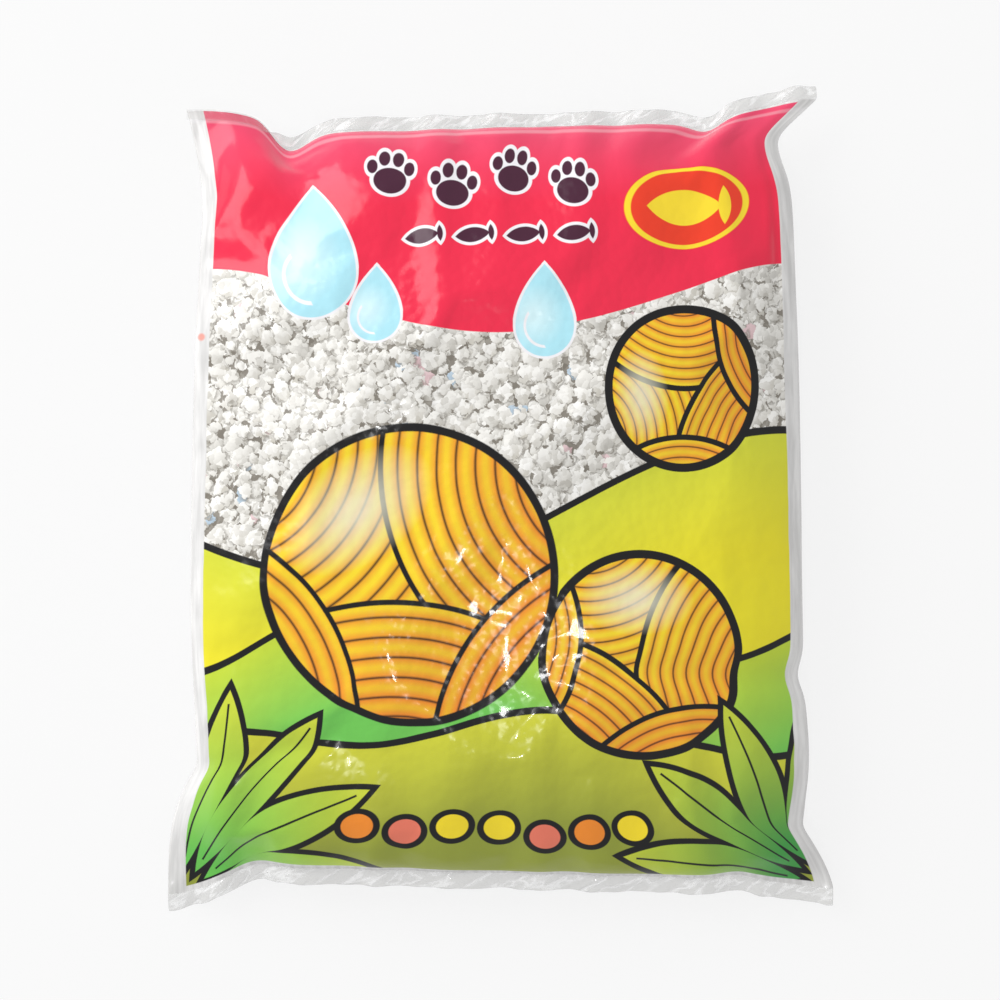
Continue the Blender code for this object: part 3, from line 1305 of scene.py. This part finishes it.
    def paint_balls(self, painter: Painter, film: Spot) -> None:
        """The balls of yarn: windings laid over each other, each a band of rounded strands."""
        spot, metre = self.nearest_ball(film)
        edge, ink = self.ball_edge, self.colours
        round_edge = disc(spot, 1.0)
        line = metre * painter.line_width
        light = spot.seen_from(*self.ball_light).length().ramp(*self.ball_fade)
        body = mix(light, ink.yellow, ink.amber)
        groove = mix(light, ink.amber, ink.orange)
        painter.fill(round_edge, body, edge)
        for (x, y), reach in self.windings:
            radius = spot.seen_from(x, y).length()
            band = (radius - reach).upper(round_edge)
            share = (radius / self.strand).math("PINGPONG", 0.5) * 2.0
            painter.fill(band, mix(share.ramp(*self.strand_fade), groove, body), edge)
            seam = (share - self.seam) * (self.seam_slope * self.strand)
            painter.fill(seam.upper(band), ink.line, edge)
            painter.outline(band, ink.line, line * self.thin_line, edge)
        shine = oval(spot.seen_from(*self.shine_place).turned(self.shine_turn), *self.shine_size)
        painter.blend(shine.ramp(*self.shine_fade), ink.cream, self.shine_opacity)
        painter.outline(round_edge, ink.line, line * self.ball_line, edge)

    def paint_leaves(self, painter: Painter, film: Spot) -> None:
        """Two fans of pointed leaves that grow out of the bottom corners."""
        plan, line = self.layout, self.colours.line
        for fan in plan.fans:
            centre = film.seen_from(*fan.root)
            across, along = centre.parts()
            angle = along.math("ARCTAN2", across)
            half_step = math.radians(fan.step) / 2
            wrapped = angle.math("WRAP", half_step, -half_step)
            radius = centre.length()
            local = Spot.joined(
                radius * wrapped.math("COSINE") - fan.distance, radius * wrapped.math("SINE")
            )
            shape = blade(local, fan.half_length, fan.half_width)
            painter.fill(shape, mix(radius.ramp(*plan.fan_fade), fan.ink, self.colours.leaf_light))
            rib_x, rib_y = local.parts()
            rib = (abs(rib_y) - plan.leaf_rib).upper(abs(rib_x) - plan.leaf_rib_share * fan.half_length)
            painter.fill(rib, line)
            painter.outline(shape, line, self.leaf_line * painter.line_width)

    def paint_pebbles(self, painter: Painter, film: Spot) -> None:
        """A row of coloured pebbles with drawn edges."""
        plan, ink = self.layout, self.colours
        first = -plan.pebble_pitch * (plan.pebble_count - 1) / 2
        spot, step, stretch = self.in_row(
            film, first, plan.pebble_pitch, plan.pebble_row, plan.pebble_count
        )
        white = add_node(film.tree, "TexWhiteNoise", {"W": step}, noise_dimensions="1D")
        random = Field(film.tree, white.outputs["Value"])
        x, y = spot.parts()
        place = Spot.joined(x, y - random * plan.pebble_scatter).turned(plan.pebble_turn)
        shape = oval(place, *plan.pebble_size).upper(stretch)
        painter.fill(shape, self.stepped(random, (ink.salmon, ink.pink, ink.orange, ink.yellow)))
        painter.outline(shape, ink.line, self.thin_line * painter.line_width)

    def stepped(self, number: Field, inks: tuple[Colour, ...]) -> bpy.types.NodeSocket:
        """One of some colours, by a number of 0 to 1."""
        ramp = add_node(number.tree, "ValToRGB", {0: number})
        ramp.color_ramp.interpolation = "CONSTANT"
        stops = ramp.color_ramp.elements
        for place, ink in enumerate(inks):
            stop = stops[place] if place < len(stops) else stops.new(place / len(inks))
            stop.position = place / len(inks)
            stop.color = (*ink, 1.0)
        return ramp.outputs["Color"]


@dataclass(frozen=True)
class PrintedFilm:
    """Glossy clear film over the litter, with the opaque print on its front."""

    front: PrintedFront = PrintedFront()
    dust: Colour = linear(212, 211, 210)
    # The paler colour of the streaks along the tube is painted sheen
    sheen_streak: Colour = linear(234, 233, 232)
    haze: float = 0.88
    roughness: float = 0.21
    specular: float = 0.30
    coat: float = 0.22
    coat_roughness: float = 0.05
    streak_width: float = 0.0040
    streak_stretch: float = 0.10
    streak_detail: float = 3.0
    streak_range: tuple[float, float] = (0.35, 0.68)
    front_limit: float = 0.75
    ear_fade: float = 0.02
    mark_opacity: float = 0.7
    seal_opacity: float = 0.22
    grain_bump: float = 0.0006
    grain_size: float = 0.0062
    grain_smoothness: float = 0.6
    grain_strength: float = 0.55

    def build(self) -> bpy.types.Material:
        """Make the material.

        Returns:
            The material of the printed film.
        """
        constants = {
            "Roughness": self.roughness,
            "Specular IOR Level": self.specular,
            "Coat Weight": self.coat,
            "Coat Roughness": self.coat_roughness,
        }
        material, shader, film = film_material("printed_film", constants)
        plan, inks = self.front.layout, self.front.colours
        across, along = film.parts()
        panel = self.panel(across, along)
        on_front = point_value(film.tree, "front_share").math("GREATER_THAN", self.front_limit)
        granules = GranulePicture().colour(film)
        painter = Painter(granules)
        # Off the front the dusty film colour lets the granule picture show a little, as the litter behind
        # the film; there its lit and shaded stones are painted light and shade
        painter.blend(on_front * (1 - self.haze) + self.haze, self.dust_and_sheen(film))
        mark = disc(film.seen_from(*plan.register_mark), plan.register_size)
        painter.blend(mark.inside(plan.soft_edge) * on_front, inks.salmon, self.mark_opacity)
        painter.blend(panel.inside() * on_front, self.front.colour(film, granules))
        seal = abs(along - plan.seal_line) - plan.seal_half_width
        painter.blend(seal.inside(plan.soft_edge) * on_front, inks.white, self.seal_opacity)
        film.tree.links.new(painter.colour, shader.inputs["Base Color"])
        self.add_relief(film, shader)
        return material

    def panel(self, across: Field, along: Field) -> Field:
        """The distance to the printed panel, which reaches further up on the top left ear."""
        plan = self.front.layout
        on_ear = across.ramp(plan.ear_start, plan.ear_start - self.ear_fade).kept()
        ear = on_ear * (plan.ear_top - plan.top)
        panel = abs(across) - plan.half_width
        return panel.upper(along - plan.top - ear).upper(-along + plan.foot)

    def dust_and_sheen(self, film: Spot) -> bpy.types.NodeSocket:
        """The dull dusty colour of the unprinted film, with painted sheen: paler streaks along the tube.
        """
        clouds = film.stretched(1.0, self.streak_stretch).clouds(self.streak_width, self.streak_detail)
        share = Field(film.tree, clouds.outputs["Fac"]).ramp(*self.streak_range)
        # Painted sheen: paler streaks over the dusty film colour
        return mix(share, self.dust, self.sheen_streak)

    def add_relief(self, film: Spot, shader: bpy.types.Node) -> None:
        """Let the granules below press small bumps into the film."""
        cells = film.cells(self.grain_size, "SMOOTH_F1")
        cells.inputs["Smoothness"].default_value = self.grain_smoothness
        fill = point_value(film.tree, "litter_behind")
        height = Field(film.tree, cells.outputs["Distance"]) * fill
        inputs = {"Strength": self.grain_strength, "Distance": self.grain_bump, "Height": height}
        bump = add_node(film.tree, "Bump", inputs, invert=True)
        film.tree.links.new(bump.outputs["Normal"], shader.inputs["Normal"])


@dataclass(frozen=True)
class ClearFilm:
    """Two layers of clear film with nothing between them, as on the flaps.

    cover is how much it hides, and cling how much less where it lies on the front. Along the creases of
    the crumples a near-white colour is laid on as a painted highlight.
    """

    tint: Colour = linear(206, 205, 202)
    # Near-white for the creases of the crumples: painted highlight
    crease_highlight: Colour = linear(250, 250, 250)
    crease_highlight_range: tuple[float, float] = (0.13, 0.01)
    cover: float = 0.30
    cling: float = 0.72
    roughness: float = 0.16
    coat: float = 0.5
    coat_roughness: float = 0.05
    crumple: float = 0.017
    crumple_turn: float = 28.0
    crumple_stretch: tuple[float, float] = (0.7, 2.0)
    crumple_depth: float = 0.0034
    crumple_detail: float = 2.5

    def build(self) -> bpy.types.Material:
        """Make the material.

        Returns:
            The material of the flaps.
        """
        constants = {
            "Roughness": self.roughness,
            "Coat Weight": self.coat,
            "Coat Roughness": self.coat_roughness,
        }
        material, shader, film = film_material("clear_film", constants)
        folds = self.folds(film)
        # Painted highlight: the creases of the crumples turn near-white
        tone = mix(folds.ramp(*self.crease_highlight_range), self.tint, self.crease_highlight)
        cover = (point_value(film.tree, "clinging") * -self.cling + 1) * self.cover
        bump = add_node(film.tree, "Bump", {"Distance": self.crumple_depth, "Height": folds})
        sources = {"Base Color": tone, "Alpha": cover.socket, "Normal": bump.outputs["Normal"]}
        for name, source in sources.items():
            film.tree.links.new(source, shader.inputs[name])
        return material

    def folds(self, film: Spot) -> Field:
        """The height of crumpled film: valleys with sharp feet, slanted across the flap."""
        slanted = film.turned(self.crumple_turn).stretched(*self.crumple_stretch)
        clouds = slanted.clouds(self.crumple, self.crumple_detail)
        return abs(Field(film.tree, clouds.outputs["Fac"]) - 0.5) * 2.0


@dataclass
class LitterBag:
    """The sealed pack: film body, seals and flaps in one piece."""

    tube: FlatTube = field(default_factory=FlatTube)
    form: FilledForm = field(default_factory=FilledForm)
    grid: FilmGrid = field(default_factory=FilmGrid)
    drape: FilmDrape = field(default_factory=FilmDrape)
    printed: PrintedFilm = field(default_factory=PrintedFilm)
    clear: ClearFilm = field(default_factory=ClearFilm)
    resting: float = 0.0005
    ruffle: float = 0.0013
    ruffle_pitch: float = 0.021
    edge_wander: float = 0.05
    fine_ruffle: float = 0.6
    fine_ruffle_pitch: float = 0.47
    lump: float = 0.00026
    lump_size: float = 0.0085
    lump_share: float = 1.6
    wide_lump: float = 0.6
    wide_lump_size: float = 2.6

    def build(self) -> bpy.types.Object:
        """Model the pack.

        Returns:
            The finished piece.
        """
        body = self.drawn_film()
        bag = self.closed_pack(body)
        self.refine(bag)
        self.press_granules(bag)
        return bag

    def drawn_film(self) -> dict[tuple[Sheet, int, int], Vector]:
        """The film between the seals, drawn round the fill."""
        across, along = self.grid.across, self.grid.along
        number, faces = pillow_faces(len(across), len(along))
        start: list[Vector] = [Vector()] * (max(number.values()) + 1)
        flat = list(start)
        held = []
        back = []
        for (sheet, column, row), place in number.items():
            on_edge = column in (0, len(across) - 1) or row in (0, len(along) - 1)
            if sheet is Sheet.BACK and on_edge:
                continue
            start[place] = self.form.point(across[column], along[row], sheet)
            x, y = self.grid.flat(across[column], along[row])
            give = self.drape.give
            flat[place] = Vector((give * x, give * y, self.form.fold_height))
            if on_edge or start[place].z < self.resting:
                held.append(place)
            if sheet is Sheet.BACK:
                back.append(place)
        points = self.drape.settle(start, flat, held, back, faces)
        self.hold_up(points, np.array(start), number)
        return {key: Vector(points[place]) for key, place in number.items()}

    def hold_up(self, points: np.ndarray, start: np.ndarray, number: Numbering) -> None:
        """Lift the drawn front back onto the litter, which the cloth didn't have below it.

        Args:
            points: The drawn film's points, which are changed.
            start: The same points in the filled form.
            number: The number of each grid point.
        """
        across, along = self.grid.across, self.grid.along
        columns, rows = range(len(across)), range(len(along))
        front = np.array([[number[Sheet.FRONT, column, row] for column in columns] for row in rows])
        over = self.grid.averaging(across, self.tube.width, self.drape.crumple)
        up = self.grid.averaging(along, self.tube.length, self.drape.crumple)
        sinking = up @ (points - start)[front, 2] @ over.T
        from_seam = [[min(self.form.from_fold(a), self.form.from_seal(b)) for a in across] for b in along]
        share = [[ease(distance / self.drape.held_margin) for distance in row] for row in from_seam]
        points[front, 2] -= sinking * np.array(share)

    def closed_pack(self, body: dict[tuple[Sheet, int, int], Vector]) -> bpy.types.Object:
        """Add the flaps to the drawn film and close the whole into one mesh."""
        across, along = self.grid.across, self.grid.along
        flap = self.grid.flap_cells
        columns, rows = len(across), len(along) + 2 * flap
        number, faces = pillow_faces(columns, rows)
        points: list[Vector] = [Vector()] * (max(number.values()) + 1)
        flat: list[tuple[float, float]] = [(0.0, 0.0)] * len(points)
        fill = [0.0] * len(points)
        front = [0.0] * len(points)
        clinging = [0.0] * len(points)
        for (sheet, column, row), place in number.items():
            body_row = min(max(row - flap, 0), len(along) - 1)
            past = max(flap - row, row - flap - len(along) + 1, 0) / flap
            end = End.of(along[body_row])
            point = body[sheet, column, body_row].copy()
            x, y = self.grid.flat(across[column], along[body_row])
            step, upward = self.flap_step(across[column], end, past)
            point += step
            if sheet is Sheet.FRONT:
                point.z -= self.form.pleat(across[column], along[body_row])
            on_rim = column in (0, columns - 1) or row in (0, rows - 1)
            if not on_rim and body_row in (0, len(along) - 1):
                half = self.tube.thickness / 2
                point += upward * (half if sheet is Sheet.FRONT else -half)
            points[place] = point
            flat[place] = (x, y + end.value * past * self.tube.flap(end))
            fill[place] = self.form.fill_share(across[column], along[body_row])
            front[place] = 0.5 if on_rim else 1.0 - sheet.value
            clinging[place] = self.form.turned_over(across[column], end)
        mesh = bpy.data.meshes.new("litter_bag_film")
        mesh.from_pydata(points, [], faces)
        bag = bpy.data.objects.new("litter_bag_film", mesh)
        bpy.context.scene.collection.objects.link(bag)
        self.add_flat_map(mesh, flat)
        self.add_values(mesh, "litter_behind", fill)
        self.add_values(mesh, "front_share", front)
        self.add_values(mesh, "clinging", clinging)
        self.dress(mesh, number, rows, flap)
        return bag

    def flap_step(self, across: float, end: End, past: float) -> tuple[Vector, Vector]:
        """How far a flap's point lies from its seal, and which way the flap's front faces there.

        Args:
            across: The place between the folds, -1 to 1.
            end: The end that the flap is at.
            past: The share of the flap's length, 0 on the seal and 1 on the free edge.

        Returns:
            The step from the seal, and the flap's normal.
        """
        form = self.form
        place = across * self.tube.width / 2
        waviness = 1 + self.edge_wander * form.wave(place, self.ruffle_pitch, end.value)
        length = self.tube.flap(end) * past * waviness
        turned = form.turned_over(across, end)
        run = max(0.0, length - form.fold_hinge)
        bent = min(run / form.fold_radius, math.pi * turned)
        straight = run - form.fold_radius * bent
        outward = min(length, form.fold_hinge) + form.fold_radius * math.sin(bent)
        outward += straight * math.cos(bent)
        height = form.fold_radius * (1 - math.cos(bent)) + straight * math.sin(bent)
        if outward < 0:
            height = max(height, self.height_over_seal(across, end, -outward) + form.fold_clearance)
        ruffle = form.flap_ripple * form.seal_ripple(across, end)
        ruffle += self.ruffle * form.wave(place, self.ruffle_pitch, 3 * end.value)
        fine_pitch = self.fine_ruffle_pitch * self.ruffle_pitch
        ruffle += self.fine_ruffle * self.ruffle * form.wave(place, fine_pitch, 5 * end.value)
        lift = (ruffle * past - form.flap_droop * past**2) * (1 - turned)
        step = Vector((0.0, end.value * outward, height + lift))
        return step, Vector((0.0, -end.value * math.sin(bent), math.cos(bent)))

    def height_over_seal(self, across: float, end: End, inward: float) -> float:
        """How much higher than its seal the front sheet is, a distance inward of the seal."""
        seal = self.form.point(across, end.value, Sheet.FRONT)
        share = 1 - inward / abs(seal.y)
        return self.form.point(across, end.value * share, Sheet.FRONT).z - seal.z

    def add_flat_map(self, mesh: bpy.types.Mesh, flat: list[tuple[float, float]]) -> None:
        """Keep each point's place on the flat film as the mesh's own map."""
        layer = mesh.uv_layers.new(name="flat_film")
        corners = np.empty(len(mesh.loops), dtype=np.int32)
        mesh.loops.foreach_get("vertex_index", corners)
        layer.data.foreach_set("uv", np.array(flat)[corners].ravel())

    def add_values(self, mesh: bpy.types.Mesh, name: str, values: list[float]) -> None:
        """Keep one number for each point of the mesh."""
        attribute = mesh.attributes.new(name, "FLOAT", "POINT")
        attribute.data.foreach_set("value", values)

    def dress(self, mesh: bpy.types.Mesh, number: Numbering, rows: int, flap: int) -> None:
        """Give the body the printed film and the flaps the clear film."""
        mesh.materials.append(self.printed.build())
        mesh.materials.append(self.clear.build())
        row_of = {place: row for (_, _, row), place in number.items()}
        for polygon in mesh.polygons:
            own_rows = [row_of[corner] for corner in polygon.vertices]
            if max(own_rows) <= flap or min(own_rows) >= rows - 1 - flap:
                polygon.material_index = 1

    def refine(self, bag: bpy.types.Object) -> None:
        """Round the film between its grid lines."""
        finer = bag.modifiers.new("finer", "SUBSURF")
        finer.levels = 1
        finer.render_levels = 1
        bpy.context.view_layer.objects.active = bag
        bag.select_set(True)
        bpy.ops.object.modifier_apply(modifier=finer.name)
        bag.data.shade_smooth()

    def press_granules(self, bag: bpy.types.Object) -> None:
        """Press the shapes of the granules below into the filled part of the film."""
        mesh = bag.data
        fill = mesh.attributes["litter_behind"].data
        moved = []
        for vertex in mesh.vertices:
            share = ease(fill[vertex.index].value * self.lump_share)
            wave = noise.noise(vertex.co / self.lump_size)
            wave += self.wide_lump * noise.noise(vertex.co / (self.wide_lump_size * self.lump_size))
            place = vertex.co + vertex.normal * (wave * self.lump * share)
            moved.append((place.x, place.y, max(0.0, place.z)))
        for vertex, place in zip(mesh.vertices, moved):
            vertex.co = place

    def declare(self, bag: bpy.types.Object) -> None:
        """Hang the piece on the root and hide the model's part that it stands in for."""
        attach(bag, "root")
        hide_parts("litter_bag")


@dataclass(frozen=True)
class Lamp:
    """One square soft light: its name, where it hangs, how long its side is, and its watts."""

    name: str
    place: tuple[float, float, float]
    size: float
    power: float


@dataclass(frozen=True)
class Studio:
    """A white table, soft light from the upper left, and a camera straight above."""

    table_size: float = 6.0
    table: Colour = (0.95, 0.95, 0.95)
    table_roughness: float = 0.9
    table_specular: float = 0.1
    backdrop: Colour = linear(250, 250, 250)
    shadow_lift: float = 0.84
    world_strength: float = 0.62
    lens: float = 85.0
    view_width: float = 0.600
    focus_height: float = 0.035
    furthest_seen: float = 20.0
    lamps: tuple[Lamp, ...] = (
        Lamp("key", (-2.0, 1.5, 1.6), 2.2, 58.0),
        Lamp("glint", (-0.17, -0.60, 1.95), 0.10, 3.0),
    )

    def build(self) -> None:
        """Set up the table, the light and the camera."""
        self.add_table()
        for lamp in self.lamps:
            self.add_light(lamp)
        self.add_world()
        self.add_camera()
        bpy.context.scene.view_settings.view_transform = "Standard"

    def add_table(self) -> None:
        """The white surface that the pack lies on."""
        bpy.ops.mesh.primitive_plane_add(size=self.table_size)
        table = bpy.context.object
        table.name = "table"
        material = bpy.data.materials.new("white_table")
        material.use_nodes = True
        shader = material.node_tree.nodes["Principled BSDF"]
        constants = {
            "Base Color": (*self.table, 1.0),
            "Roughness": self.table_roughness,
            "Specular IOR Level": self.table_specular,
        }
        for socket, value in constants.items():
            shader.inputs[socket].default_value = value
        self.brighten(material.node_tree, shader)
        table.data.materials.append(material)

    def brighten(self, tree: bpy.types.NodeTree, shader: bpy.types.Node) -> None:
        """Show the camera a table whose shadows are lifted, as on an evenly lit white sweep.

        Args:
            tree: The table material's nodes.
            shader: The table's own surface.
        """
        glow = add_node(tree, "Emission", {"Color": (*self.backdrop, 1.0)})
        path = add_node(tree, "LightPath", {})
        seen = Field(tree, path.outputs["Is Camera Ray"]) * self.shadow_lift
        mixed = add_node(tree, "MixShader", {0: seen, 1: shader.outputs[0], 2: glow.outputs[0]})
        tree.links.new(mixed.outputs[0], tree.nodes["Material Output"].inputs["Surface"])

    def add_light(self, lamp: Lamp) -> None:
        """Hang one light so that it looks at the pack."""
        bpy.ops.object.light_add(type="AREA", location=lamp.place)
        light = bpy.context.object
        light.name = lamp.name
        light.data.size = lamp.size
        light.data.energy = lamp.power
        direction = Vector((0, 0, self.focus_height)) - Vector(lamp.place)
        light.rotation_euler = direction.to_track_quat("-Z", "Y").to_euler()

    def add_world(self) -> None:
        """Even white light from all round."""
        world = bpy.data.worlds.new("studio")
        world.use_nodes = True
        background = world.node_tree.nodes["Background"]
        background.inputs["Color"].default_value = (1.0, 1.0, 1.0, 1.0)
        background.inputs["Strength"].default_value = self.world_strength
        bpy.context.scene.world = world

    def add_camera(self) -> None:
        """A long lens straight above the pack, with the print upright."""
        data = bpy.data.cameras.new("camera")
        data.lens = self.lens
        data.clip_end = self.furthest_seen
        camera = bpy.data.objects.new("camera", data)
        camera.location = (0.0, 0.0, self.focus_height + self.view_width * self.lens / data.sensor_width)
        bpy.context.scene.collection.objects.link(camera)
        bpy.context.scene.camera = camera


def main() -> None:
    """Build the pack and its studio."""
    logging.basicConfig(level=logging.INFO, format="%(message)s")
    bpy.ops.object.select_all(action="DESELECT")
    pack = LitterBag()
    bag = pack.build()
    pack.declare(bag)
    LOG.info("%s: %d faces", bag.name, len(bag.data.polygons))
    Studio().build()
    LOG.info("studio: camera at %.2f m", bpy.context.scene.camera.location.z)


if __name__ == "__main__":
    main()
